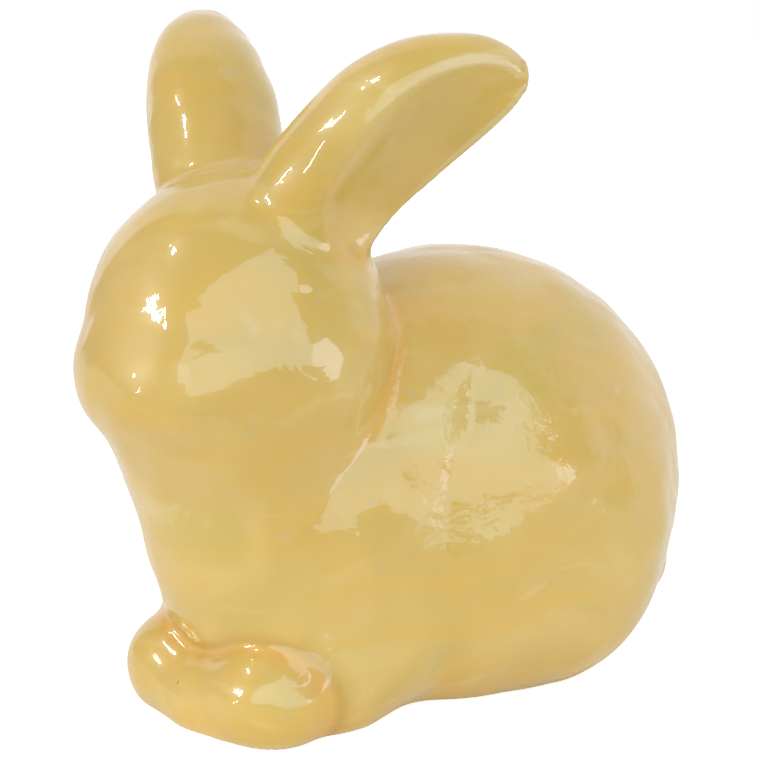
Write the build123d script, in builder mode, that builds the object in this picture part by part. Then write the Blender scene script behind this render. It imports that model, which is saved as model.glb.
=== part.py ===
from build123d import *
import math
import os

os.makedirs("parts", exist_ok=True)

# A crouching rabbit of hollow cast clay, luted together from separate mouldings.
# Its nose points to -Y, its left side to +X, and it stands on the height 0.
# Lengths are in millimetres.

# Whole figure
overall_length = 150.5
shell_wall = 4.0
slip_gap = 0.25
cut_overrun = 5.0

# Torso: an egg for the back, with the haunches swelling out of its sides. The egg
# reaches from the tail to under the head.
torso_half_width = 44.9
torso_front_setback = 0.25
torso_half_height = 49.1
torso_centre_height = 40.8
haunch_half_width = 23.9
haunch_half_length = 23.3
haunch_half_height = 28.9
haunch_side = 21.0
haunch_setback = 10.1
haunch_centre_height = 29.8
haunch_blend = 7.0

# Belly, which joins the shoulders to the haunches, from under the head to the rump
belly_half_width = 18.6
belly_front_lead = 1.25
belly_rump_lead = 25.1
belly_half_height = 25.7
belly_centre_height = 20.5

# Head: a ball, open towards the torso, with a broad low snout
head_half_width = 30.75
head_half_length = 30.25
head_half_height = 33.9
head_centre_height = 76.6
snout_length = 2.2
snout_half_width = 24.2
snout_half_length = 18.8
snout_half_height = 14.3
snout_drop = 5.7
neck_hole_diameter = 18.0
neck_hole_angle = 40.0  # degrees below level

# Chest, whose top leans forward into the head, and the shoulders, whose tops lean back
chest_half_width = 26.9
chest_half_length = 26.1
chest_top_drop = 1.0
chest_floor_drop = 9.6
chest_setback = 9.7
chest_lean_share = -0.28
shoulder_half_width = 15.9
shoulder_half_length = 22.8
shoulder_half_height = 31.2
shoulder_side = 14.7
shoulder_setback = 10.8
shoulder_centre_height = 26.6
shoulder_lean_share = 0.42

# Ears: plump leaves that rise from the crown and bend back and outwards, each with
# a shallow dish along its outer side. Their places are counted from the head's middle.
ear_root_side = 12.5
ear_root_setback = 7.3
ear_root_rise = 23.9
ear_bend_side = 30.0
ear_bend_setback = 13.6
ear_bend_rise = 53.4
ear_tip_side = 49.2
ear_tip_setback = 31.0
ear_tip_rise = 53.5
ear_dish_facing_shares = (0.994, -0.038, -0.098)
ear_half_width = 13.8
ear_half_depth = 13.1
ear_widest_share = 0.35
ear_width_power = 1.9
ear_depth_power = 1.5
ear_dish_offset = 10.9
ear_dish_depth = 2.8
ear_dish_sinking_share = 0.25
ear_dish_start_shares = (0.15, 0.45)
ear_dish_end_shares = (0.86, 1.0)
ear_closed_share = 0.85
ear_wall = 3.0
ear_cavity_share = 0.82
ear_vent_diameter = 5.0

# Forepaws: two ovals side by side under the chest, with a low web between them
paw_half_width = 12.8
paw_half_length = 12.6
paw_half_height = 11.5
paw_side = 13.9
paw_lead = 12.9
paw_centre_height = 8.4
web_half_width = 17.0
web_half_length = 13.5
web_half_height = 8.5
web_centre_height = 5.0
paw_wall = 3.5
paw_vent_diameter = 4.0

# Tail: a hollow tuft low on the back, whose reach stands out behind it
tail_half_width = 12.0
tail_half_length = 15.0
tail_half_height = 11.7
tail_reach = 10.2
tail_centre_height = 14.3
tail_wall = 3.5
tail_vent_diameter = 4.0

# Pouring hole through the sole, and the disc that closes it from below
pour_hole_diameter = 24.0
pour_ledge = 3.0
disc_thickness = 2.0
disc_recess = 0.4
disc_vent_diameter = 6.0

# How finely the moulded surfaces are drawn, in counts
ring_points = 24
level_count = 12
ear_back_points = 14
ear_dish_points = 6
ear_steps = 10
halvings = 24

# How far up to its pole a moulded form is drawn, before it closes in a small flat
pole_share = 0.998


def oval(point, centre, radii):
    """About how far a point lies outside an oval solid, and below zero inside it."""
    steps = [(p - c) / r for p, c, r in zip(point, centre, radii)]
    slopes = [step / r for step, r in zip(steps, radii)]
    size = math.hypot(*steps)
    slope = math.hypot(*slopes)
    if slope == 0:
        return -min(radii)
    return size * (size - 1) / slope


def merged(first, second, blend):
    """Joins two forms, with a soft fillet of about the blend's size in the corner."""
    closeness = max(blend - abs(first - second), 0)
    return min(first, second) - closeness * closeness / (4 * blend)


def leaning(point, lean_share, middle_height):
    """Where a point would lie if a form that leans along Y stood upright."""
    return (point[0], point[1] - lean_share * (point[2] - middle_height), point[2])


# Middles of the forms, counted from the back of the figure and from its front
head_middle = (
    0,
    snout_length + head_half_length - overall_length / 2,
    head_centre_height,
)
snout_middle = (
    0,
    snout_half_length - overall_length / 2,
    head_centre_height - snout_drop,
)
rump_y = overall_length / 2 - tail_reach
torso_front_y = head_middle[1] + torso_front_setback
torso_half_length = (rump_y - torso_front_y) / 2
back_middle = (0, (rump_y + torso_front_y) / 2, torso_centre_height)
haunch_middle = (haunch_side, back_middle[1] + haunch_setback, haunch_centre_height)
belly_rear_y = rump_y - belly_rump_lead
belly_front_y = head_middle[1] - belly_front_lead
belly_half_length = (belly_rear_y - belly_front_y) / 2
belly_middle = (0, (belly_rear_y + belly_front_y) / 2, belly_centre_height)
chest_top_height = head_centre_height - chest_top_drop
chest_half_height = (chest_top_height + chest_floor_drop) / 2
chest_centre_height = chest_top_height - chest_half_height
chest_middle = (0, head_middle[1] + chest_setback, chest_centre_height)
shoulder_middle = (
    shoulder_side,
    chest_middle[1] + shoulder_setback,
    shoulder_centre_height,
)
paw_middle = (paw_side, chest_middle[1] - paw_lead, paw_centre_height)
web_middle = (0, paw_middle[1], web_centre_height)
tail_middle = (0, overall_length / 2 - tail_half_length, tail_centre_height)

# The ear's middle curve, and the side that its dish faces
ear_root = Vector(ear_root_side, ear_root_setback, ear_root_rise) + Vector(*head_middle)
ear_bend = Vector(ear_bend_side, ear_bend_setback, ear_bend_rise) + Vector(*head_middle)
ear_tip = Vector(ear_tip_side, ear_tip_setback, ear_tip_rise) + Vector(*head_middle)
ear_dish_facing = Vector(*ear_dish_facing_shares)


def back_form(point):
    sided = (abs(point[0]), point[1], point[2])
    egg = oval(
        point, back_middle, (torso_half_width, torso_half_length, torso_half_height)
    )
    haunch = oval(
        sided,
        haunch_middle,
        (haunch_half_width, haunch_half_length, haunch_half_height),
    )
    return merged(egg, haunch, haunch_blend)


def belly_form(point):
    return oval(
        point, belly_middle, (belly_half_width, belly_half_length, belly_half_height)
    )


def chest_form(point):
    return oval(
        leaning(point, chest_lean_share, chest_centre_height),
        chest_middle,
        (chest_half_width, chest_half_length, chest_half_height),
    )


def shoulder_form(point):
    return oval(
        leaning(point, shoulder_lean_share, shoulder_centre_height),
        shoulder_middle,
        (shoulder_half_width, shoulder_half_length, shoulder_half_height),
    )


def head_form(point):
    return oval(point, head_middle, (head_half_width, head_half_length, head_half_height))


def snout_form(point):
    return oval(
        point, snout_middle, (snout_half_width, snout_half_length, snout_half_height)
    )


def paw_form(point):
    return oval(point, paw_middle, (paw_half_width, paw_half_length, paw_half_height))


def web_form(point):
    return oval(point, web_middle, (web_half_width, web_half_length, web_half_height))


def tail_form(point):
    return oval(
        point, tail_middle, (tail_half_width, tail_half_length, tail_half_height)
    )


def reach(form, start, heading, inset):
    """How far a start inside a form lies from its inset surface, along a heading."""
    near = 0.0
    far = overall_length
    for _ in range(halvings):
        middle = (near + far) / 2
        point = [s + h * middle for s, h in zip(start, heading)]
        if form(point) + inset < 0:
            near = middle
        else:
            far = middle
    return near


def level_section(form, start, inset):
    """The section of a form at the level of a start point inside it."""
    points = []
    for turn in range(ring_points):
        angle = 2 * math.pi * turn / ring_points
        heading = (math.cos(angle), math.sin(angle), 0)
        distance = reach(form, start, heading, inset)
        points.append(
            (start[0] + heading[0] * distance, start[1] + heading[1] * distance)
        )
    with BuildSketch(Plane.XY.offset(start[2]), mode=Mode.PRIVATE) as section:
        with BuildLine():
            Spline(*points, periodic=True)
        make_face()
    return section.sketch


def moulded(form, middle, inset=0.0, floor=None, lean_share=0.0):
    """A form lofted through level sections, flat on a floor where one is given."""
    rise = reach(form, middle, (0, lean_share, 1), inset)
    drop = reach(form, middle, (0, -lean_share, -1), inset)
    first_turn = -math.pi / 2
    if floor is not None:
        first_turn = -math.asin((middle[2] - floor) / drop)
    sections = []
    for step in range(level_count + 1):
        turn = first_turn + (math.pi / 2 - first_turn) * step / level_count
        lift = max(min(math.sin(turn), pole_share), -pole_share)
        climb = lift * (rise if lift > 0 else drop)
        start = (middle[0], middle[1] + lean_share * climb, middle[2] + climb)
        sections.append(level_section(form, start, inset))
    with BuildPart(mode=Mode.PRIVATE) as body:
        loft(sections=sections)
    return body.part


def moulded_torso(inset=0.0, floor=0.0):
    """The back, belly, chest and shoulders in one."""
    with BuildPart(mode=Mode.PRIVATE) as body:
        add(moulded(back_form, back_middle, inset, floor))
        add(moulded(belly_form, belly_middle, inset, floor))
        add(moulded(chest_form, chest_middle, inset, floor, chest_lean_share))
        shoulder = moulded(
            shoulder_form, shoulder_middle, inset, floor, shoulder_lean_share
        )
        add(shoulder)
        mirror(shoulder, about=Plane.YZ)
    return body.part


def moulded_head(inset=0.0):
    """The ball of the head and the snout in one."""
    with BuildPart(mode=Mode.PRIVATE) as body:
        add(moulded(head_form, head_middle, inset))
        add(moulded(snout_form, snout_middle, inset))
    return body.part


def moulded_paw(inset=0.0, floor=0.0):
    """The left paw and the web in one."""
    with BuildPart(mode=Mode.PRIVATE) as body:
        add(moulded(paw_form, paw_middle, inset, floor))
        add(moulded(web_form, web_middle, inset, floor))
    return body.part


def ear_line(share):
    """The point at a share of the ear's middle curve, and the curve's direction."""
    point = (
        ear_root * (1 - share) ** 2
        + ear_bend * (2 * share * (1 - share))
        + ear_tip * share**2
    )
    heading = (ear_bend - ear_root) * (1 - share) + (ear_tip - ear_bend) * share
    return point, heading.normalized()


def ear_taper(share, power):
    """How much of the ear's full size is left at a share of its length."""
    past = max(share - ear_widest_share, 0) / (1 - ear_widest_share)
    return math.sqrt(1 - past**power)


def eased(value):
    """A smooth step from 0 to 1."""
    held = min(max(value, 0), 1)
    return held * held * (3 - 2 * held)


def ear_dish_opening(share):
    """How far the dish is open at a share of the ear's length, from 0 to 1."""
    start, full = ear_dish_start_shares
    closing, end = ear_dish_end_shares
    return eased((share - start) / (full - start)) * eased((end - share) / (end - closing))


def ear_section(share, inset):
    """A round section of the ear, cut by its dish."""
    point, heading = ear_line(share)
    facing = ear_dish_facing - heading * ear_dish_facing.dot(heading)
    full_depth = ear_half_depth * ear_taper(share, ear_depth_power)
    half_width = ear_half_width * ear_taper(share, ear_width_power) - inset
    half_depth = full_depth - inset
    opening = ear_dish_opening(share)
    open_share = ear_dish_offset / ear_half_depth * (1 - ear_dish_sinking_share * share)
    rim_share = ear_closed_share + (open_share - ear_closed_share) * opening
    offset = full_depth * rim_share - inset
    dish = ear_dish_depth * ear_taper(share, ear_depth_power) * opening
    edge_turn = math.acos(offset / half_depth)
    chord = half_width * math.sin(edge_turn)
    points = []
    for step in range(ear_back_points):
        turn = edge_turn + (2 * math.pi - 2 * edge_turn) * (step + 1 / 2) / ear_back_points
        points.append((half_width * math.sin(turn), half_depth * math.cos(turn)))
    for step in range(ear_dish_points):
        side = 2 * (step + 1 / 2) / ear_dish_points - 1
        points.append((chord * side, offset - dish * (1 - side**2)))
    plane = Plane(origin=point, x_dir=facing.cross(heading), z_dir=heading)
    with BuildSketch(plane, mode=Mode.PRIVATE) as section:
        with BuildLine():
            Spline(*points, periodic=True)
        make_face()
    return section.sketch


def ear_sections(end_share, inset):
    """Sections of the ear from its root to near a share of its length."""
    sections = []
    for step in range(ear_steps + 1):
        share = end_share * pole_share * (1 - (1 - step / ear_steps) ** 2)
        sections.append(ear_section(share, inset))
    return sections


mid_joint = Plane.YZ.offset(slip_gap / 2)

# The torso and the head as their neighbours meet them, with the slip of the joints
torso_bed = moulded_torso(-slip_gap)
head_bed = moulded_head(-slip_gap)

# Torso, open under the head, with a stepped pouring hole and vents for paws and tail
with BuildPart() as torso_shell:
    add(moulded_torso())
    add(moulded_torso(shell_wall, shell_wall), mode=Mode.SUBTRACT)
    add(head_bed, mode=Mode.SUBTRACT)
    with Locations((0, back_middle[1], 0)):
        Cylinder(
            radius=pour_hole_diameter / 2,
            height=2 * (shell_wall + cut_overrun),
            mode=Mode.SUBTRACT,
        )
        Cylinder(
            radius=pour_hole_diameter / 2 + pour_ledge,
            height=2 * (disc_recess + disc_thickness),
            mode=Mode.SUBTRACT,
        )
    for side in (-1, 1):
        paw_line = Plane(
            origin=(side * paw_side, paw_middle[1], paw_centre_height), z_dir=(0, 1, 0)
        )
        with Locations(paw_line):
            Cylinder(
                radius=paw_vent_diameter / 2,
                height=paw_half_length,
                mode=Mode.SUBTRACT,
            )
    with Locations(Plane(origin=tail_middle, z_dir=(0, 1, 0))):
        Cylinder(
            radius=tail_vent_diameter / 2,
            height=2 * (tail_half_length + shell_wall),
            mode=Mode.SUBTRACT,
        )

# Head, with a neck hole down into the torso and a vent under each ear
neck_slope = math.radians(neck_hole_angle)
neck_line = Plane(
    origin=head_middle, z_dir=(0, math.cos(neck_slope), -math.sin(neck_slope))
)
_, ear_heading = ear_line(0)
with BuildPart() as head_shell:
    add(moulded_head())
    add(moulded_head(shell_wall), mode=Mode.SUBTRACT)
    with Locations(neck_line):
        Cylinder(
            radius=neck_hole_diameter / 2,
            height=head_half_height + cut_overrun,
            align=(Align.CENTER, Align.CENTER, Align.MIN),
            mode=Mode.SUBTRACT,
        )
    for side in (-1, 1):
        ear_root_line = Plane(
            origin=(side * ear_root.X, ear_root.Y, ear_root.Z),
            z_dir=(side * ear_heading.X, ear_heading.Y, ear_heading.Z),
        )
        with Locations(ear_root_line):
            Cylinder(
                radius=ear_vent_diameter / 2,
                height=2 * ear_half_width,
                mode=Mode.SUBTRACT,
            )

# Ears, cut to the head and to the plane between them
with BuildPart() as ear_cavity:
    loft(sections=ear_sections(ear_cavity_share, ear_wall))
    split(bisect_by=mid_joint.offset(ear_wall), keep=Keep.TOP)
with BuildPart() as left_ear:
    loft(sections=ear_sections(1, 0))
    add(head_bed, mode=Mode.SUBTRACT)
    split(bisect_by=mid_joint, keep=Keep.TOP)
    add(ear_cavity.part, mode=Mode.SUBTRACT)
with BuildPart() as right_ear:
    mirror(left_ear.part, about=Plane.YZ)

# Forepaws, cut to the chest and to the plane between them
with BuildPart() as paw_cavity:
    add(moulded_paw(paw_wall, paw_wall))
    split(bisect_by=mid_joint.offset(paw_wall), keep=Keep.TOP)
with BuildPart() as left_forepaw:
    add(moulded_paw())
    add(torso_bed, mode=Mode.SUBTRACT)
    split(bisect_by=mid_joint, keep=Keep.TOP)
    add(paw_cavity.part, mode=Mode.SUBTRACT)
with BuildPart() as right_forepaw:
    mirror(left_forepaw.part, about=Plane.YZ)

# Tail, open towards the torso
with BuildPart() as tail:
    add(moulded(tail_form, tail_middle))
    add(moulded(tail_form, tail_middle, tail_wall), mode=Mode.SUBTRACT)
    add(torso_bed, mode=Mode.SUBTRACT)

# Disc that closes the pouring hole, with a vent for the heat of the kiln
with BuildPart() as base_disc:
    with BuildSketch(Plane.XY.offset(disc_recess)):
        with Locations((0, back_middle[1])):
            Circle(radius=pour_hole_diameter / 2 + pour_ledge - slip_gap)
            Circle(radius=disc_vent_diameter / 2, mode=Mode.SUBTRACT)
    extrude(amount=disc_thickness - slip_gap)

pieces = {
    "torso_shell": torso_shell,
    "head_shell": head_shell,
    "left_ear": left_ear,
    "right_ear": right_ear,
    "left_forepaw": left_forepaw,
    "right_forepaw": right_forepaw,
    "tail": tail,
    "base_disc": base_disc,
}
for name, piece in pieces.items():
    piece.part.label = name
    export_step(piece.part, f"parts/{name}.step")
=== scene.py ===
import math
import bpy
import numpy as np
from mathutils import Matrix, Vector


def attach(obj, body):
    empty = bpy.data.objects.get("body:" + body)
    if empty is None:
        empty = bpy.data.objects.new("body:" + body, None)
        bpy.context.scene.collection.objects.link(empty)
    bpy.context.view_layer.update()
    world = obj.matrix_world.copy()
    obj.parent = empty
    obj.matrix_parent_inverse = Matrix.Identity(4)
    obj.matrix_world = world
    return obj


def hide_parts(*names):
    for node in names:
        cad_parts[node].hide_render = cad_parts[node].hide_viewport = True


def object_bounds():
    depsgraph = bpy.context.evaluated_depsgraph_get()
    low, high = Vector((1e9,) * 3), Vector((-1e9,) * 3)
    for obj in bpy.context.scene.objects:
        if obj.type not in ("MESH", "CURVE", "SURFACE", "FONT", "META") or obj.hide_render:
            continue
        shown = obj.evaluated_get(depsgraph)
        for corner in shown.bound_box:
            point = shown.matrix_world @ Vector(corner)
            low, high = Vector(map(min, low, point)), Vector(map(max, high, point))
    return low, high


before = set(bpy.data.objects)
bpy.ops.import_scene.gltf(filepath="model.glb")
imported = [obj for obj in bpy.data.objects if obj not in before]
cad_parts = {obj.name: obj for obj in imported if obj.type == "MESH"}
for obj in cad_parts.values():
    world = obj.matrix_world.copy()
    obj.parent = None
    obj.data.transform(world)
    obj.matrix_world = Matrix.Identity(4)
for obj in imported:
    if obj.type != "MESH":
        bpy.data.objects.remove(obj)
cad_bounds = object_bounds()

# Lengths below are in millimetres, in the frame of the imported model, and meshes are
# scaled to metres as they are made. The nose points to -Y and the left side to +X.
# Angles are in degrees. The object's colours are as a screen shows them, from 0 to
# 255, and those of the lights, the room and the table are light values from 0 to 1.
MM = 0.001

# Whole figure, and the wall that its skin is drawn with
overall_length = 150.5
wall = 2.0

# Torso
torso_radii = (44.9, 53.8, 49.1)
torso_centre_height = 40.8
haunch_radii = (23.9, 23.3, 28.9)
haunch_side = 21.0
haunch_setback = 10.1
haunch_centre_height = 29.8
haunch_blend = 7.0
belly_radii = (18.6, 42.0, 25.7)
belly_lead = 13.3
belly_centre_height = 20.5
belly_blend = 8.0

# Head and snout
head_radii = (30.75, 30.25, 33.9)
head_centre_height = 76.6
snout_length = 2.2
snout_radii = (24.2, 18.8, 14.3)
snout_drop = 5.7
snout_blend = 4.0

# Chest and shoulders
chest_radii = (26.9, 26.1, 42.6)
chest_setback = 9.7
chest_centre_height = 33.0
chest_lean_share = -0.28
chest_blend = 8.0
shoulder_radii = (15.9, 22.8, 31.2)
shoulder_side = 14.7
shoulder_setback = 10.8
shoulder_centre_height = 26.6
shoulder_lean_share = 0.42
shoulder_blend = 8.0

# Ears, whose middle curve bends from the root to the tip. Their places are counted
# from the head's middle.
ear_root_place = np.array((12.5, 7.3, 23.9))
ear_bend_place = np.array((30.0, 13.6, 53.4))
ear_tip_place = np.array((49.2, 31.0, 53.5))
ear_half_width = 13.8
ear_half_depth = 12.9
ear_widest_share = 0.35
ear_width_power = 1.9
ear_depth_power = 1.5
ear_line_end_share = 0.985
ear_box_margin = 22.0

# The dish along each ear's outer side, which is a flat with a hollow set into it. Where
# the dish is closed, its flat lies outside the ear, and the least shares keep the
# hollow's depth and width above zero.
ear_dish_facing = np.array((0.994, -0.038, -0.098))
ear_dish_offset = 10.9
ear_dish_depth = 2.8
ear_dish_sinking_share = 0.25
ear_dish_start_shares = (-0.1, 0.2)
ear_dish_end_shares = (0.9, 1.3)
ear_dish_shift_share = 0.3
ear_closed_share = 1.1
ear_rim_width = 2.4
ear_rim_blend = 1.2
least_opening_share = 0.1
least_chord_share = 0.2

# Forepaws, with the low web between them
paw_radii = (12.8, 12.6, 11.5)
paw_side = 13.9
paw_lead = 12.9
paw_centre_height = 8.4
web_radii = (17.0, 12.7, 10.6)
web_centre_height = 5.2
web_blend = 4.0

# Tail
tail_radii = (12.0, 15.0, 11.7)
tail_reach = 10.2
tail_centre_height = 14.3

# Fillets that clay and glaze leave where the pieces meet. The neck's is wide at the
# throat and narrow at the nape, and the paws' is wider at their outer sides.
neck_front_blend = 11.0
neck_back_blend = 3.0
neck_front_y = -52.0
neck_back_y = -22.0
ear_blend = 3.0
ear_pair_blend = 10.0
paw_front_blend = 1.8
paw_side_blend = 3.0
paw_side_reach = (14.0, 26.0)
tail_blend = 3.0
sole_blend = 1.5

# Valley down each flank between the shoulder and the haunch: its course in Y and Z,
# and how much of its full depth it has at each point
valley_course = (
    (-7.5, 72.0, 0.2),
    (-9.5, 66.0, 1.0),
    (-12.5, 60.0, 1.0),
    (-15.6, 55.6, 1.0),
    (-18.0, 47.9, 0.9),
    (-19.4, 36.1, 0.7),
    (-18.0, 23.0, 0.6),
    (-10.4, 4.6, 0.5),
)
valley_depth = 2.4
valley_width = 3.4
valley_floor_width = 1.2

# Swellings and hollows of the flanks: place in Y and Z, rise, half widths in Y and Z.
# They and the valley fade out towards the middle of the figure.
swellings = (
    ((-31.0, 52.0), 2.2, (7.0, 14.0)),
    ((3.0, 57.0), 2.0, (13.0, 14.0)),
    ((-35.0, 23.5), -2.2, (12.0, 10.0)),
    ((5.5, 25.0), -0.8, (14.0, 11.5)),
)
flank_side = 15.0

# Recess in the sole, which the disc of the frame closes
recess_radius = 15.0
recess_height = 2.4
recess_blend = 0.5

# Slow unevenness of the cast and glazed surface: each wave's height, length and
# direction, and how it sways sideways as it goes
waves = (
    (0.16, 31.0, (0.8, 0.3, 0.5)),
    (0.12, 23.0, (-0.4, 0.9, 0.2)),
    (0.10, 17.0, (0.1, -0.5, 0.9)),
    (0.07, 13.0, (0.7, 0.6, -0.4)),
    (0.05, 9.5, (-0.6, 0.2, 0.8)),
)
sway_length_ratio = 2.3
sway_turn = 2.0

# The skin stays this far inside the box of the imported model, with a soft edge
box_margin = 0.05
box_blend = 0.8

# Where glaze gathers in a crease, how far from the paws the painted shade on the chest
# over them reaches, and the height above which the front crease is the open throat
pool_reach = 2.8
painted_shade_reach = 2.4
throat_floor_height = 30.0

# How finely the skin is worked out
grid_step = 1.0
grid_margin = 3.0
block_steps = 4
near_blocks = 1.6
probe_step = 0.05
roundness_step = 1.2
skin_rounds = 4
evening_share = 0.5
seam_rounds = 3
seam_stride_share = 0.4
inner_rounds = 4
curve_trials = 25
curve_rounds = 3

# Floors that keep a division from running away
tiny = 1e-6
least_steepness = 0.05
least_inner_slope = 0.3
least_stiffness = 1.0

# How far outside a form a point counts where the form isn't worked out
far_away = 25.0

# Glaze: its ground colour, and the cloudy layers over it. Each layer has the stretch of
# its noise along X, Y and Z, the noise's scale, detail and distortion, the two levels
# that it fades in between, its strength and its colour.
ground_colour = (214, 184, 98)
cloud_layer = ((1.0, 1.0, 1.0), 0.035, 3.0, 0.6, (0.38, 0.64), 1.0, (221, 193, 114))
band_layer = ((0.3, 0.3, 1.0), 0.11, 3.0, 0.4, (0.42, 0.62), 0.45, (226, 184, 84))
olive_layer = ((1.0, 1.0, 1.4), 0.027, 2.0, 0.5, (0.54, 0.70), 0.6, (206, 184, 92))
cream_layer = ((0.5, 0.5, 1.2), 0.075, 4.0, 1.2, (0.56, 0.72), 0.45, (228, 208, 146))
fleck_layer = ((1.3, 1.3, 0.8), 0.21, 3.0, 1.0, (0.66, 0.76), 0.55, (192, 188, 166))

# Glaze deeper in the creases, painted shade over the paws, and glaze thin on sharp curves
pooled_colour = (230, 176, 78)
pooled_strength = 0.7
# Painted shade on the chest where it overhangs the paws: its colour and strength
painted_shade_colour = (176, 146, 68)
painted_shade_strength = 0.9
thin_colour = (230, 210, 158)
thin_strength = 0.5
thin_levels = (0.16, 0.45)

# Pinholes, one at most in each cell of a pattern: the cells to a millimetre, the share
# of cells left without one, and the radii that their colour fades between
pinhole_colour = (150, 112, 52)
pinhole_scale = 0.055
pinhole_left_out_share = 0.5
pinhole_radii = (0.22, 0.34)

# Unevenness that only the gloss of the glaze shows: scale, detail and distortion of its
# noise, and its height. The last one fades in towards the back of the figure.
peel = (0.35, 2.0, 0.3, 0.04)
ripple = (0.11, 2.0, 0.8, 0.28)
rag = (0.2, 3.0, 1.2, 0.26)
rag_start_y = -36.0
rag_full_y = -22.0

# Gloss of the glaze: a clear coat over a softer body
body_roughness = 0.32
body_specular_level = 0.35
coat_roughness = 0.015
glass_ior = 1.5

# Bare clay: ground colour, a cloudy layer as above, grain over it, and the grain's height
clay_colour = (226, 212, 188)
clay_layer = ((1.0, 1.0, 1.0), 0.12, 3.0, 0.0, (0.3, 0.7), 1.0, (236, 225, 205))
grain_layer = ((1.0, 1.0, 1.0), 1.6, 5.0, 0.0, (0.62, 0.75), 1.0, (196, 176, 146))
grain_height = 0.1
grain_strength = 0.6
clay_roughness = 0.85

# The photograph's point of view, and how large a millimetre is in it
view_azimuth = 50.0
view_elevation = 12.0
view_distance = 548.3
view_target = (0, -6.3, 64.0)
view_reach = 20000.0
picture_pixels = 760
pixels_per_millimetre = 4.87
sensor_width = 36.0

# Lights: colour and strength
lights = {
    "window_light": ((0.62, 0.82, 1.0), 2.6),
    "fill_light": ((0.97, 0.98, 0.97), 1.6),
    "left_fill_light": ((1.0, 0.93, 0.74), 2.3),
    "top_fill_light": ((1.0, 0.96, 0.9), 0.7),
    "lit_wall": ((0.72, 0.8, 1.0), 4.6),
    "sparkle_light": ((1.0, 0.98, 0.95), 42.0),
}

# Outlines of the light cards, as seen from the head: each corner's turn to the right of
# the camera's side, and its height
window_corners = (
    (-34, 27), (-31, 7), (-28, 2), (8, -2), (33, -14), (62, -16), (61, 3), (59, 6),
    (44, 28), (44, 31), (57, 29), (60, 37), (61, 44), (49, 48), (46, 62), (30, 56),
    (5, 50), (-21, 39), (-31, 32),
)
left_corners = ((-95, -5), (-50, -5), (-50, 45), (-95, 45))
top_corners = ((60, 60), (110, 35), (170, 35), (200, 60), (120, 85))
wall_corners = ((61, 3), (72, 3), (82, -6), (76, -13), (62, -16))
lamp_corners = ((57, 29), (61, 32), (70, 29), (73, 24), (64, 25))
sparkle_strips = (
    ((-60, 21), (-61, 19.5), (-80, 14.5), (-79, 16)),
    ((-68, 14.5), (-70, 14.5), (-73, 23), (-71, 24)),
    ((-60, 16.5), (-61, 14.5), (-78, 19), (-77, 21)),
    ((-58, 24), (-60, 23), (-61, 14.5), (-60, 14.5)),
    ((-60, 2), (-62, 2), (-66, -3), (-64, -3)),
    ((-66, 50), (-70, 47), (-82, 49), (-80, 53)),
)

# Light cards: outline, distance from the head, light, and whether the card lights the
# object. Those that do aren't mirrored in it, and the others are only mirrored.
window_distance = 1500.0
fill_distance = 1480.0
wall_distance = 1460.0
sparkle_distance = 1400.0
light_cards = {
    "window_card": (window_corners, window_distance, "window_light", False),
    "fill_card": (window_corners, fill_distance, "fill_light", True),
    "left_fill_card": (left_corners, fill_distance, "left_fill_light", True),
    "top_fill_card": (top_corners, fill_distance, "top_fill_light", True),
    "lit_wall": (wall_corners, wall_distance, "lit_wall", False),
    "lit_lamp": (lamp_corners, wall_distance, "lit_wall", False),
}

# Room: pale behind and above the object and darker on the camera's side. The pale
# part's middle lies this far round from straight behind, and is tilted up.
room_turn = -19.0
room_tilt = 22.4
room_edge_levels = (0.44, 0.50)
dark_room_colour = (0.42, 0.41, 0.39)
pale_room_colour = (1.0, 0.95, 0.92)
room_strength = 0.95

# Table: its colour and glow as the camera sees it and as all else sees it, and how far
# it goes in front of the object, behind it and to each side
seen_paper_colour = (0.86, 0.84, 0.82)
seen_paper_glow = 0.8
other_paper_colour = (0.9, 0.88, 0.85)
other_paper_glow = 0.12
table_front_reach = 130.0
table_back_reach = 1600.0
table_side_reach = 1500.0


def oval(points, centre, radii):
    """About how far points lie outside an oval solid, and below zero inside it."""
    steps = (points - np.array(centre, float)) / np.array(radii, float)
    slopes = steps / np.array(radii, float)
    size = np.linalg.norm(steps, axis=1)
    slope = np.linalg.norm(slopes, axis=1)
    return size * (size - 1) / np.maximum(slope, tiny)


def merged(first, second, blend):
    """Joins two forms, with a soft fillet of about the blend's size in the corner."""
    closeness = np.maximum(blend - np.abs(first - second), 0)
    return np.minimum(first, second) - closeness**2 / (4 * blend)


def cut(form, tool, blend):
    """What is left of a form outside a tool, with a rounded edge."""
    return -merged(-form, tool, blend)


def leaning(points, lean_share, middle_height):
    """Where points would lie if a form that leans along Y stood upright."""
    upright = points.copy()
    upright[:, 1] -= lean_share * (points[:, 2] - middle_height)
    return upright


def eased(values):
    """A smooth step from 0 to 1."""
    held = np.clip(values, 0, 1)
    return held * held * (3 - 2 * held)


def unit(vectors):
    """Vectors brought to a length of 1."""
    return vectors / np.linalg.norm(vectors, axis=1, keepdims=True)


def gradient(form, points):
    """How steeply a form rises along each axis at points."""
    slope = np.zeros_like(points)
    for axis in range(3):
        shift = np.zeros(3)
        shift[axis] = probe_step
        slope[:, axis] = (form(points + shift) - form(points - shift)) / (2 * probe_step)
    return slope


def blended_rise(gap, blend):
    """How far a blend lifts the top of a bump that ends a gap above its base."""
    bridged = min(gap, blend)
    return bridged + blend - 2 * math.sqrt(bridged * blend)


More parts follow.
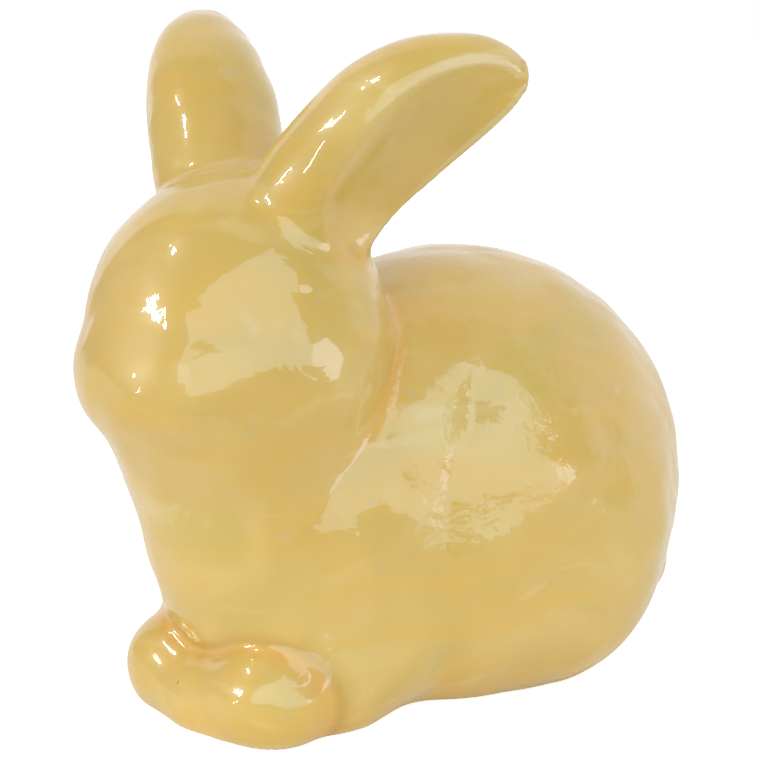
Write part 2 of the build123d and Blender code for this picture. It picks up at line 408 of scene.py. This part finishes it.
# Middles of the forms, counted from the back of the figure and from its front. The
# snout sits so far back that its blend with the head ends at the front.
back_y = overall_length / 2 - tail_reach - torso_radii[1]
head_y = snout_length + head_radii[1] - overall_length / 2
chest_y = head_y + chest_setback
head_level_share = math.sqrt(1 - (snout_drop / head_radii[2]) ** 2)
snout_gap = snout_length + head_radii[1] * (1 - head_level_share)
snout_rise = blended_rise(snout_gap, snout_blend)
tail_centre = (0, overall_length / 2 - tail_radii[1], tail_centre_height)
back_centre = (0, back_y, torso_centre_height)
haunch_centre = (haunch_side, back_y + haunch_setback, haunch_centre_height)
belly_centre = (0, back_y - belly_lead, belly_centre_height)
head_centre = (0, head_y, head_centre_height)
snout_centre = (
    0,
    snout_radii[1] + snout_rise - overall_length / 2,
    head_centre_height - snout_drop,
)
chest_centre = (0, chest_y, chest_centre_height)
shoulder_centre = (shoulder_side, chest_y + shoulder_setback, shoulder_centre_height)
paw_centre = (paw_side, chest_y - paw_lead, paw_centre_height)
web_centre = (0, chest_y - paw_lead, web_centre_height)
ear_root = ear_root_place + head_centre
ear_bend = ear_bend_place + head_centre
ear_tip = ear_tip_place + head_centre
ear_places = np.stack((ear_root, ear_bend, ear_tip))
ear_box_low = ear_places.min(axis=0) - ear_box_margin
ear_box_high = ear_places.max(axis=0) + ear_box_margin


def flank_hollow(points):
    """How far the flank lies below its plain form, with its valley and swellings."""
    nearest = np.full(len(points), far_away)
    depth = np.zeros(len(points))
    for first, second in zip(valley_course, valley_course[1:]):
        start = np.array(first[:2])
        run = np.array(second[:2]) - start
        share = np.clip(((points[:, 1:] - start) @ run) / (run @ run), 0, 1)
        gap = np.linalg.norm(points[:, 1:] - start - share[:, None] * run, axis=1)
        closer = gap < nearest
        depth = np.where(closer, first[2] + share * (second[2] - first[2]), depth)
        nearest = np.minimum(nearest, gap)
    smooth_gap = np.hypot(nearest, valley_floor_width) - valley_floor_width
    hollow = valley_depth * depth * np.exp(-smooth_gap / valley_width)
    for place, rise, sizes in swellings:
        steps = (points[:, 1:] - np.array(place)) / np.array(sizes)
        hollow -= rise * np.exp(-(steps * steps).sum(axis=1))
    return hollow * eased((np.abs(points[:, 0]) - flank_side / 2) / flank_side)


def torso_form(points, sided):
    """The back, haunches, belly, chest and shoulders in one."""
    egg = oval(points, back_centre, torso_radii)
    haunch = oval(sided, haunch_centre, haunch_radii)
    back = merged(egg, haunch, haunch_blend)
    upright = leaning(points, chest_lean_share, chest_centre_height)
    chest = oval(upright, chest_centre, chest_radii)
    upright = leaning(sided, shoulder_lean_share, shoulder_centre_height)
    shoulder = oval(upright, shoulder_centre, shoulder_radii)
    front = merged(chest, shoulder, shoulder_blend)
    belly = oval(points, belly_centre, belly_radii)
    torso = merged(merged(back, front, chest_blend), belly, belly_blend)
    return torso + flank_hollow(points)


def head_form(points):
    ball = oval(points, head_centre, head_radii)
    snout = oval(points, snout_centre, snout_radii)
    return merged(ball, snout, snout_blend)


def paw_form(points, sided):
    paw = oval(sided, paw_centre, paw_radii)
    web = oval(points, web_centre, web_radii)
    return merged(paw, web, web_blend)


def ear_curve(share):
    """The ear's middle curve, its first slope and its second, at shares of it."""
    share = share[:, None]
    place = (
        (1 - share) ** 2 * ear_root
        + 2 * share * (1 - share) * ear_bend
        + share**2 * ear_tip
    )
    slope = 2 * (1 - share) * (ear_bend - ear_root) + 2 * share * (ear_tip - ear_bend)
    bending = 2 * (ear_tip - 2 * ear_bend + ear_root)
    return place, slope, bending


def nearest_share(points):
    """The share of the ear's middle curve that lies nearest to each point."""
    trial_shares = np.linspace(0, 1, curve_trials)
    trials, _, _ = ear_curve(trial_shares)
    distances = np.linalg.norm(points[:, None, :] - trials[None, :, :], axis=2)
    share = trial_shares[distances.argmin(axis=1)]
    for _ in range(curve_rounds):
        place, slope, bending = ear_curve(share)
        gap = place - points
        pull = (gap * slope).sum(axis=1)
        stiffness = (slope * slope).sum(axis=1) + (gap * bending).sum(axis=1)
        stride = pull / np.maximum(stiffness, least_stiffness)
        share = np.clip(share - stride, 0, ear_line_end_share)
    return share


def ear_taper(share, power):
    """How much of the ear's full size is left at shares of its length."""
    past = np.clip((share - ear_widest_share) / (1 - ear_widest_share), 0, 1)
    return np.sqrt(1 - past**power)


def ear_dish_opening(share):
    """How far the dish is open at shares of the ear's length, from 0 to 1."""
    start, full = ear_dish_start_shares
    closing, end = ear_dish_end_shares
    return eased((share - start) / (full - start)) * eased((end - share) / (end - closing))


def ear_leaf(share, steps, half_width, half_depth):
    """The ear without its dish: a tapering leaf with round ends."""
    tip_rest = 2 * (1 - ear_line_end_share) * np.linalg.norm(ear_tip - ear_bend)
    end_rest = np.where(share > 0.5, tip_rest, ear_half_width)
    radii = np.stack((half_width, half_depth, end_rest), axis=1)
    steps = steps / radii
    size = np.linalg.norm(steps, axis=1)
    slope = np.linalg.norm(steps / radii, axis=1)
    return size * (size - 1) / np.maximum(slope, tiny)


def left_ear_near(points):
    """The left ear for points near it: its leaf, cut by the dish's flat and hollow."""
    share = nearest_share(points)
    place, slope, _ = ear_curve(share)
    along = unit(slope)
    facing = ear_dish_facing / np.linalg.norm(ear_dish_facing)
    outward = unit(facing - along * (along @ facing)[:, None])
    across = np.cross(outward, along)
    gap = points - place
    across_gap = (gap * across).sum(axis=1)
    outward_gap = (gap * outward).sum(axis=1)
    along_gap = (gap * along).sum(axis=1)
    steps = np.stack((across_gap, outward_gap, along_gap), axis=1)
    half_width = ear_half_width * ear_taper(share, ear_width_power)
    half_depth = ear_half_depth * ear_taper(share, ear_depth_power)
    leaf = ear_leaf(share, steps, half_width, half_depth)
    opening = ear_dish_opening(share)
    open_share = ear_dish_offset / ear_half_depth * (1 - ear_dish_sinking_share * share)
    rim_share = ear_closed_share + (open_share - ear_closed_share) * opening
    offset = half_depth * rim_share
    full_depth = ear_dish_depth * ear_taper(share, ear_depth_power)
    depth = full_depth * np.maximum(opening, least_opening_share)
    chord = half_width * np.sqrt(np.clip(1 - rim_share**2, least_chord_share**2, 1))
    shift = half_width * ear_dish_shift_share
    reach = np.maximum(chord - ear_rim_width, 0) + shift
    radius = (reach**2 + depth**2) / (2 * depth)
    dish_height = outward_gap - (offset - depth + radius)
    dish = np.hypot(across_gap + shift, dish_height) - radius
    flat = offset - outward_gap
    return cut(cut(leaf, flat, ear_rim_blend), dish, ear_rim_blend)


def left_ear_form(points):
    """The left ear, worked out only near it."""
    near = np.all((points > ear_box_low) & (points < ear_box_high), axis=1)
    form = np.full(len(points), far_away)
    if near.any():
        form[near] = left_ear_near(points[near])
    return form


def all_forms(points):
    """The forms of the pieces, each on its own."""
    sided = points.copy()
    sided[:, 0] = np.abs(points[:, 0])
    other_side = points * (-1, 1, 1)
    left = points[:, 0] > 0
    paws = paw_form(points, sided)
    return {
        "torso_shell": torso_form(points, sided),
        "head_shell": head_form(points),
        "left_ear": left_ear_form(points),
        "right_ear": left_ear_form(other_side),
        "left_forepaw": np.where(left, paws, far_away),
        "right_forepaw": np.where(left, far_away, paws),
        "tail": oval(points, tail_centre, tail_radii),
    }


def form_rows(points):
    """The forms of the pieces, a row each, in their order."""
    return np.stack(list(all_forms(points).values()))


def wave_height(points):
    """Slow unevenness of the surface."""
    height = np.zeros(len(points))
    for rise, length, direction in waves:
        way = np.array(direction) / np.linalg.norm(direction)
        phase = 2 * math.pi / length * (points @ way)
        sway_length = sway_length_ratio * length
        sway = np.sin(2 * math.pi / sway_length * (points @ np.roll(way, 1)))
        height += rise * np.sin(phase + sway_turn * sway)
    return height


def neck_blend(points):
    """The size of the neck's fillet, from the throat to the nape."""
    back_share = np.clip(
        (points[:, 1] - neck_front_y) / (neck_back_y - neck_front_y), 0, 1
    )
    return neck_front_blend + (neck_back_blend - neck_front_blend) * back_share


def paw_blend(points):
    """The size of the fillet round the paws, from between them to their outer sides."""
    near, far = paw_side_reach
    side_share = eased((np.abs(points[:, 0]) - near) / (far - near))
    return paw_front_blend + (paw_side_blend - paw_front_blend) * side_share


def depth_in_box(points):
    """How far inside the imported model's box points lie. Its floor doesn't count."""
    low, high = (np.array(corner) / MM for corner in cad_bounds)
    low[2] -= far_away
    return np.minimum(points - low, high - points).min(axis=1) - box_margin


def figure(points):
    """The whole figure in one skin: about how far points lie outside it."""
    forms = all_forms(points)
    ears = merged(forms["left_ear"], forms["right_ear"], ear_pair_blend)
    skin = merged(forms["head_shell"], ears, ear_blend)
    skin = merged(skin, forms["torso_shell"], neck_blend(points))
    paws = np.minimum(forms["left_forepaw"], forms["right_forepaw"])
    skin = merged(skin, paws, paw_blend(points))
    skin = merged(skin, forms["tail"], tail_blend) + wave_height(points)
    skin = cut(skin, depth_in_box(points), box_blend)
    skin = cut(skin, points[:, 2], sole_blend)
    from_axis = np.linalg.norm(points[:, :2] - back_centre[:2], axis=1)
    recess = np.maximum(from_axis - recess_radius, points[:, 2] - recess_height)
    return cut(skin, recess, recess_blend)


def settled(points):
    """Points moved one step down the figure's slope, onto its skin or close to it."""
    slope = gradient(figure, points)
    steepness = np.maximum((slope * slope).sum(axis=1), least_steepness)
    return points - slope * (figure(points) / steepness)[:, None]


def sampled_grid():
    """The figure on a grid of points, worked out finely only near its skin."""
    low = np.array(cad_bounds[0]) / MM - grid_margin
    high = np.array(cad_bounds[1]) / MM + grid_margin
    block = block_steps * grid_step
    block_counts = np.ceil((high - low) / block).astype(int)
    axes = [
        low[axis] + block * (np.arange(block_counts[axis]) + 0.5) - grid_step / 2
        for axis in range(3)
    ]
    centres = np.stack(np.meshgrid(*axes, indexing="ij"), axis=-1).reshape(-1, 3)
    coarse = figure(centres).reshape(block_counts)
    fine = coarse
    near = np.abs(coarse) < near_blocks * block
    for axis in range(3):
        fine = fine.repeat(block_steps, axis)
        near = near.repeat(block_steps, axis)
    places = np.argwhere(near)
    fine[near] = figure(low + places * grid_step)
    return fine, low


def skin_net(values, low):
    """Quads along the zero level of a grid, with a vertex in each cell it passes."""
    inside = values < 0
    cells = tuple(count - 1 for count in values.shape)
    sums = np.zeros(cells + (3,))
    hits = np.zeros(cells)
    crossings = []
    for axis in range(3):
        first = np.take(values, range(values.shape[axis] - 1), axis)
        second = np.take(values, range(1, values.shape[axis]), axis)
        crossed = np.argwhere((first < 0) != (second < 0))
        others = [other for other in range(3) if other != axis]
        held = np.ones(len(crossed), bool)
        for other in others:
            held &= (crossed[:, other] > 0) & (crossed[:, other] < cells[other])
        crossed = crossed[held]
        index = tuple(crossed.T)
        share = first[index] / (first[index] - second[index])
        place = crossed.astype(float)
        place[:, axis] += share
        corners = []
        for step_a, step_b in ((0, 0), (-1, 0), (-1, -1), (0, -1)):
            cell = crossed.copy()
            cell[:, others[0]] += step_a
            cell[:, others[1]] += step_b
            corners.append(cell)
            np.add.at(sums, tuple(cell.T), place)
            np.add.at(hits, tuple(cell.T), 1)
        turned = inside[index] ^ (axis == 1)
        crossings.append((corners, turned))
    used = hits > 0
    numbers = np.full(cells, -1)
    numbers[used] = np.arange(used.sum())
    vertices = low + sums[used] / hits[used][:, None] * grid_step
    quads = []
    for corners, turned in crossings:
        quad = np.stack([numbers[tuple(cell.T)] for cell in corners], axis=1)
        quads.append(np.where(turned[:, None], quad, quad[:, ::-1]))
    return vertices, np.concatenate(quads)


def evened(vertices, quads):
    """Vertices moved part of the way to the middle of their neighbours."""
    sums = np.zeros_like(vertices)
    counts = np.zeros(len(vertices))
    for start in range(4):
        here = quads[:, start]
        there = quads[:, (start + 1) % 4]
        np.add.at(sums, here, vertices[there])
        np.add.at(sums, there, vertices[here])
        np.add.at(counts, here, 1)
        np.add.at(counts, there, 1)
    return vertices + evening_share * (sums / counts[:, None] - vertices)


def owners(points):
    """The number of the piece that each point belongs to, in the order of the forms."""
    return np.argmin(form_rows(points), axis=0)


def owners_around(quads, quad_owners, vertex_count):
    """The lowest and the highest number of the pieces that meet at each vertex."""
    lowest = np.full(vertex_count, quad_owners.max())
    highest = np.zeros(vertex_count, int)
    for corner in range(4):
        np.minimum.at(lowest, quads[:, corner], quad_owners)
        np.maximum.at(highest, quads[:, corner], quad_owners)
    return lowest, highest


def seated_on_seams(vertices, quads, quad_owners):
    """Vertices on a seam, moved along the skin to where both pieces are as near."""
    lowest, highest = owners_around(quads, quad_owners, len(vertices))
    chosen = np.flatnonzero(lowest != highest)
    rows = np.arange(len(chosen))

    def lead(points):
        forms = form_rows(points)
        return forms[lowest[chosen], rows] - forms[highest[chosen], rows]

    points = vertices[chosen]
    for _ in range(seam_rounds):
        normal = unit(gradient(figure, points))
        pull = gradient(lead, points)
        pull -= normal * (pull * normal).sum(axis=1)[:, None]
        strength = np.maximum((pull * pull).sum(axis=1), least_steepness)
        move = -pull * (lead(points) / strength)[:, None]
        length = np.linalg.norm(move, axis=1, keepdims=True)
        move *= np.minimum(1, seam_stride_share * grid_step / np.maximum(length, tiny))
        points = settled(points + move)
    moved = vertices.copy()
    moved[chosen] = points
    return moved


def figure_skin():
    """Vertices and quads of the figure's skin, and the number of each quad's piece."""
    values, low = sampled_grid()
    vertices, quads = skin_net(values, low)
    for _ in range(skin_rounds):
        vertices = settled(evened(vertices, quads))
    quad_owners = owners(vertices[quads].mean(axis=1))
    vertices = seated_on_seams(vertices, quads, quad_owners)
    return settled(vertices), quads, quad_owners


def inner_skin(vertices):
    """The inner side of the wall, reached from the vertices in short steps."""
    inner = vertices
    for _ in range(inner_rounds):
        slope = gradient(figure, inner)
        length = np.linalg.norm(slope, axis=1, keepdims=True)
        inner = inner - slope / np.maximum(length, least_inner_slope) * wall / inner_rounds
    return inner


def pooled_glaze(points):
    """Where glaze gathers: 1 along the creases between pieces, 0 on open surface."""
    forms = np.sort(form_rows(points), axis=0)
    gathered = np.exp(-((np.maximum(forms[1], 0) / pool_reach) ** 2))
    throat = eased((neck_back_y - points[:, 1]) / (neck_back_y - neck_front_y))
    return gathered * (1 - throat * (points[:, 2] > throat_floor_height))


def painted_paw_shade(points):
    """Painted shade on the chest, by how near it is to the paws under it, from 0 to 1."""
    forms = all_forms(points)
    paws = np.minimum(forms["left_forepaw"], forms["right_forepaw"])
    near = np.exp(-((np.maximum(paws, 0) / painted_shade_reach) ** 2))
    return near * eased((paws - forms["torso_shell"]) / painted_shade_reach)


def roundness(points):
    """How sharply the skin curves, above zero where it bulges."""
    total = -6 * figure(points)
    for axis in range(3):
        shift = np.zeros(3)
        shift[axis] = roundness_step
        total += figure(points + shift) + figure(points - shift)
    return total / roundness_step**2


def placed(name, data):
    """A new object in the scene."""
    made = bpy.data.objects.new(name, data)
    bpy.context.scene.collection.objects.link(made)
    return made


def walled_piece(name, vertices, normals, inner, quads, facts):
    """A closed piece of wall: its outer skin, its inner skin and the rim between."""
    used = np.unique(quads)
    numbers = np.full(len(vertices), -1)
    numbers[used] = np.arange(len(used))
    outer_quads = numbers[quads]
    inner_quads = outer_quads[:, ::-1] + len(used)
    edges = np.concatenate(
        [outer_quads[:, [start, (start + 1) % 4]] for start in range(4)]
    )
    keys = edges[:, 0] * len(used) + edges[:, 1]
    back_keys = edges[:, 1] * len(used) + edges[:, 0]
    rim = edges[~np.isin(keys, back_keys)]
    rim_quads = np.stack(
        (rim[:, 1], rim[:, 0], rim[:, 0] + len(used), rim[:, 1] + len(used)), axis=1
    )
    places = np.concatenate((vertices[used], inner[used])) * MM
    faces = np.concatenate((outer_quads, inner_quads, rim_quads))
    mesh = bpy.data.meshes.new(name)
    mesh.from_pydata(places.tolist(), [], faces.tolist())
    mesh.validate()
    mesh.shade_smooth()
    facing = np.concatenate((normals[used], -normals[used]))
    mesh.normals_split_custom_set_from_vertices(facing.tolist())
    for fact, values in facts.items():
        attribute = mesh.attributes.new(fact, "FLOAT", "POINT")
        attribute.data.foreach_set("value", np.tile(values[used], 2))
    return placed(name, mesh)


def add_skin_pieces(material):
    """The glazed skin, made in one and parted into a closed piece for each node."""
    vertices, quads, quad_owners = figure_skin()
    normals = unit(gradient(figure, vertices))
    inner = inner_skin(vertices)
    facts = {
        "pooled_glaze": pooled_glaze(vertices),
        # The painted shade over the paws, held at each vertex
        "painted_paw_shade": painted_paw_shade(vertices),
        "roundness": roundness(vertices),
    }
    for number, name in enumerate(all_forms(vertices[:1])):
        own_quads = quads[quad_owners == number]
        piece = walled_piece(name + "_skin", vertices, normals, inner, own_quads, facts)
        piece.data.materials.append(material)
        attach(piece, "root")
        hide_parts(name)


class NodeKit:
    """Short ways to add and link nodes of a material or world."""

    def __init__(self, tree):
        self.tree = tree
        tree.nodes.clear()

    def node(self, kind, **settings):
        """A new node, whose inputs are linked where a socket is given for them."""
        made = self.tree.nodes.new(kind)
        inputs = settings.pop("inputs", {})
        for key, value in settings.items():
            setattr(made, key, value)
        for key, value in inputs.items():
            if isinstance(value, bpy.types.NodeSocket):
                self.tree.links.new(value, made.inputs[key])
            else:
                made.inputs[key].default_value = value
        return made

    def maths(self, operation, first, second, clamped=False):
        made = self.node(
            "ShaderNodeMath",
            operation=operation,
            use_clamp=clamped,
            inputs={0: first, 1: second},
        )
        return made.outputs[0]

    def place(self):
        """Where on the object a point lies, in millimetres."""
        metres = self.node("ShaderNodeTexCoord").outputs["Object"]
        return self.stretched(metres, (1 / MM,) * 3)

    def fact(self, name):
        """A value that the mesh holds at each vertex."""
        return self.node("ShaderNodeAttribute", attribute_name=name).outputs["Fac"]

    def stretched(self, vector, scale):
        made = self.node(
            "ShaderNodeVectorMath", operation="MULTIPLY", inputs={0: vector, 1: scale}
        )
        return made.outputs[0]

    def noise(self, vector, scale, detail, distortion=0.0):
        made = self.node(
            "ShaderNodeTexNoise",
            inputs={
                "Vector": vector,
                "Scale": scale,
                "Detail": detail,
                "Distortion": distortion,
            },
        )
        return made.outputs["Fac"]

    def ramp(self, value, low, high):
        """A smooth step from 0 to 1 between two levels of a value."""
        made = self.node(
            "ShaderNodeMapRange",
            interpolation_type="SMOOTHSTEP",
            inputs={"Value": value, "From Min": low, "From Max": high},
        )
        return made.outputs[0]

    def mix(self, share, first, second):
        made = self.node(
            "ShaderNodeMix", data_type="RGBA", inputs={0: share, 6: first, 7: second}
        )
        return made.outputs[2]

    def tinted(self, colour, share, strength, tint):
        """A colour with a share of a tint over it."""
        return self.mix(self.maths("MULTIPLY", share, strength, True), colour, shade(tint))

    def layered(self, colour, place, layer):
        """A colour with a cloudy layer over it."""
        stretch, scale, detail, distortion, levels, strength, tint = layer
        pattern = self.noise(self.stretched(place, stretch), scale, detail, distortion)
        return self.tinted(colour, self.ramp(pattern, *levels), strength, tint)

    def surface(self, shader):
        self.node("ShaderNodeOutputMaterial", inputs={"Surface": shader})


def new_material(name):
    material = bpy.data.materials.new(name)
    material.use_nodes = True
    return material, NodeKit(material.node_tree)


def shade(levels):
    """A colour as a screen shows it, in the light values of a shader."""
    values = []
    for level in levels:
        part = level / 255
        values.append(part / 12.92 if part <= 0.04045 else ((part + 0.055) / 1.055) ** 2.4)
    return (*values, 1.0)


def pinholes(kit, place):
    """Where the glaze has pinholes: 1 inside them and 0 outside."""
    cells = kit.node(
        "ShaderNodeTexVoronoi", inputs={"Vector": place, "Scale": pinhole_scale}
    )
    from_middle = kit.maths("DIVIDE", cells.outputs["Distance"], pinhole_scale)
    hole = kit.maths("SUBTRACT", 1.0, kit.ramp(from_middle, *pinhole_radii))
    lot = kit.node("ShaderNodeSeparateColor", inputs={0: cells.outputs["Color"]})
    kept = kit.maths("GREATER_THAN", lot.outputs[0], pinhole_left_out_share)
    return kit.maths("MULTIPLY", hole, kept)


def glaze_colour(kit, place):
    """Cloudy lustre, deeper where it pools, thin on sharp curves, painted shade over the
    paws, pinholes.
    """
    colour = shade(ground_colour)
    for layer in (cloud_layer, band_layer, olive_layer, cream_layer):
        colour = kit.layered(colour, place, layer)
    colour = kit.tinted(colour, kit.fact("pooled_glaze"), pooled_strength, pooled_colour)
    # Painted shade on the chest where it overhangs the paws
    colour = kit.tinted(colour, kit.fact("painted_paw_shade"), painted_shade_strength, painted_shade_colour)
    thin = kit.ramp(kit.fact("roundness"), *thin_levels)
    colour = kit.tinted(colour, thin, thin_strength, thin_colour)
    colour = kit.layered(colour, place, fleck_layer)
    return kit.mix(pinholes(kit, place), colour, shade(pinhole_colour))


def glaze_unevenness(kit, place):
    """The height of the glaze's fine unevenness."""
    heights = []
    for scale, detail, distortion, height in (peel, ripple, rag):
        pattern = kit.noise(place, scale, detail, distortion)
        heights.append(kit.maths("MULTIPLY", pattern, height))
    peel_height, ripple_height, rag_height = heights
    axes = kit.node("ShaderNodeSeparateXYZ", inputs={0: place}).outputs
    towards_back = kit.ramp(axes[1], rag_start_y, rag_full_y)
    rag_height = kit.maths("MULTIPLY", rag_height, towards_back)
    return kit.maths("ADD", kit.maths("ADD", peel_height, ripple_height), rag_height)


def glaze_material():
    """Clear yellow glaze: a cloudy body under a glossy coat that ripples."""
    material, kit = new_material("yellow_lustre_glaze")
    place = kit.place()
    bump = kit.node(
        "ShaderNodeBump",
        inputs={"Strength": 1.0, "Distance": MM, "Height": glaze_unevenness(kit, place)},
    )
    shader = kit.node(
        "ShaderNodeBsdfPrincipled",
        inputs={
            "Base Color": glaze_colour(kit, place),
            "Roughness": body_roughness,
            "IOR": glass_ior,
            "Specular IOR Level": body_specular_level,
            "Coat Weight": 1.0,
            "Coat Roughness": coat_roughness,
            "Coat IOR": glass_ior,
            "Coat Normal": bump.outputs[0],
        },
    )
    kit.surface(shader.outputs[0])
    return material


def bare_clay_material():
    """Matt fired clay, with fine grain."""
    material, kit = new_material("bare_fired_clay")
    place = kit.place()
    colour = kit.layered(shade(clay_colour), place, clay_layer)
    colour = kit.layered(colour, place, grain_layer)
    _, grain_scale, grain_detail, *_ = grain_layer
    bump = kit.node(
        "ShaderNodeBump",
        inputs={
            "Strength": grain_strength,
            "Distance": grain_height * MM,
            "Height": kit.noise(place, grain_scale, grain_detail),
        },
    )
    shader = kit.node(
        "ShaderNodeBsdfPrincipled",
        inputs={
            "Base Color": colour,
            "Roughness": clay_roughness,
            "Normal": bump.outputs[0],
        },
    )
    kit.surface(shader.outputs[0])
    return material


def heading(azimuth, elevation):
    """A direction, from its turn to the right of the camera's side and its height."""
    turn = math.radians(view_azimuth + azimuth)
    rise = math.radians(elevation)
    return Vector(
        (math.sin(turn) * math.cos(rise), -math.cos(turn) * math.cos(rise), math.sin(rise))
    )


def add_camera():
    camera = placed("camera", bpy.data.cameras.new("camera"))
    camera.data.sensor_width = sensor_width
    camera.data.lens = (
        pixels_per_millimetre * view_distance / picture_pixels * sensor_width
    )
    camera.data.clip_end = view_reach * MM
    toward = heading(0, view_elevation)
    camera.location = (Vector(view_target) + toward * view_distance) * MM
    camera.rotation_euler = (-toward).to_track_quat("-Z", "Y").to_euler()
    bpy.context.scene.camera = camera


def flat_panel(name, corners, material):
    """A flat face between corners."""
    mesh = bpy.data.meshes.new(name)
    mesh.from_pydata(corners, [], [list(range(len(corners)))])
    mesh.materials.append(material)
    return placed(name, mesh)


def light_material(name):
    colour, strength = lights[name]
    material, kit = new_material(name)
    shader = kit.node(
        "ShaderNodeEmission", inputs={"Color": (*colour, 1.0), "Strength": strength}
    )
    kit.surface(shader.outputs[0])
    return material


def add_light_card(name, outline, distance, material, gives_light):
    """A flat glowing card, its corners given by the directions they are seen in."""
    middle = Vector(head_centre)
    directions = [heading(*corner) for corner in outline]
    facing = sum(directions, Vector()).normalized()
    corners = [
        (middle + way * (distance / way.dot(facing))) * MM for way in directions
    ]
    card = flat_panel(name, corners, material)
    card.visible_camera = False
    card.visible_diffuse = gives_light
    card.visible_glossy = not gives_light


def add_lights():
    """Cards that light the object, and cards that are mirrored in its glaze."""
    materials = {name: light_material(name) for name in lights}
    for name, (outline, distance, light, gives_light) in light_cards.items():
        add_light_card(name, outline, distance, materials[light], gives_light)
    sparkle = materials["sparkle_light"]
    for number, outline in enumerate(sparkle_strips):
        name = f"sparkle_card_{number}"
        add_light_card(name, outline, sparkle_distance, sparkle, False)


def add_world():
    """The room around the object, and white where the camera sees past it."""
    world = bpy.data.worlds.new("studio")
    bpy.context.scene.world = world
    world.use_nodes = True
    kit = NodeKit(world.node_tree)
    direction = kit.node("ShaderNodeTexCoord").outputs["Generated"]
    back = -heading(room_turn, 0)
    tilt = math.radians(room_tilt)
    axis = (back.x * math.cos(tilt), back.y * math.cos(tilt), math.sin(tilt))
    behind = kit.node(
        "ShaderNodeVectorMath", operation="DOT_PRODUCT", inputs={0: direction, 1: axis}
    )
    pale = kit.ramp(behind.outputs["Value"], *room_edge_levels)
    colour = kit.mix(pale, (*dark_room_colour, 1.0), (*pale_room_colour, 1.0))
    room = kit.node(
        "ShaderNodeBackground", inputs={"Color": colour, "Strength": room_strength}
    )
    white = kit.node(
        "ShaderNodeBackground", inputs={"Color": (1.0, 1.0, 1.0, 1.0), "Strength": 1.0}
    )
    path = kit.node("ShaderNodeLightPath")
    mixed = kit.node(
        "ShaderNodeMixShader",
        inputs={0: path.outputs["Is Camera Ray"], 1: room.outputs[0], 2: white.outputs[0]},
    )
    kit.node("ShaderNodeOutputWorld", inputs={"Surface": mixed.outputs[0]})


def glowing_paper(kit, colour, glow):
    """Matt paper with an even glow."""
    paper = kit.node("ShaderNodeBsdfDiffuse", inputs={"Color": (*colour, 1.0)})
    light = kit.node("ShaderNodeEmission", inputs={"Strength": glow})
    both = kit.node(
        "ShaderNodeAddShader", inputs={0: paper.outputs[0], 1: light.outputs[0]}
    )
    return both.outputs[0]


def add_table():
    """A pale table that ends in front of the object, and keeps its shadow."""
    material, kit = new_material("pale_table")
    path = kit.node("ShaderNodeLightPath")
    mixed = kit.node(
        "ShaderNodeMixShader",
        inputs={
            0: path.outputs["Is Camera Ray"],
            1: glowing_paper(kit, other_paper_colour, other_paper_glow),
            2: glowing_paper(kit, seen_paper_colour, seen_paper_glow),
        },
    )
    kit.surface(mixed.outputs[0])
    front = heading(0, 0)
    side = Vector((-front.y, front.x, 0))
    corners = []
    for along, across in (
        (table_front_reach, -table_side_reach),
        (table_front_reach, table_side_reach),
        (-table_back_reach, table_side_reach),
        (-table_back_reach, -table_side_reach),
    ):
        corners.append((front * along + side * across) * MM)
    table = flat_panel("table", corners, material)


bpy.context.scene.view_settings.view_transform = "Standard"
add_camera()
add_world()
add_lights()
add_table()
add_skin_pieces(glaze_material())
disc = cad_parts["base_disc"]
disc.data.materials.clear()
disc.data.materials.append(bare_clay_material())
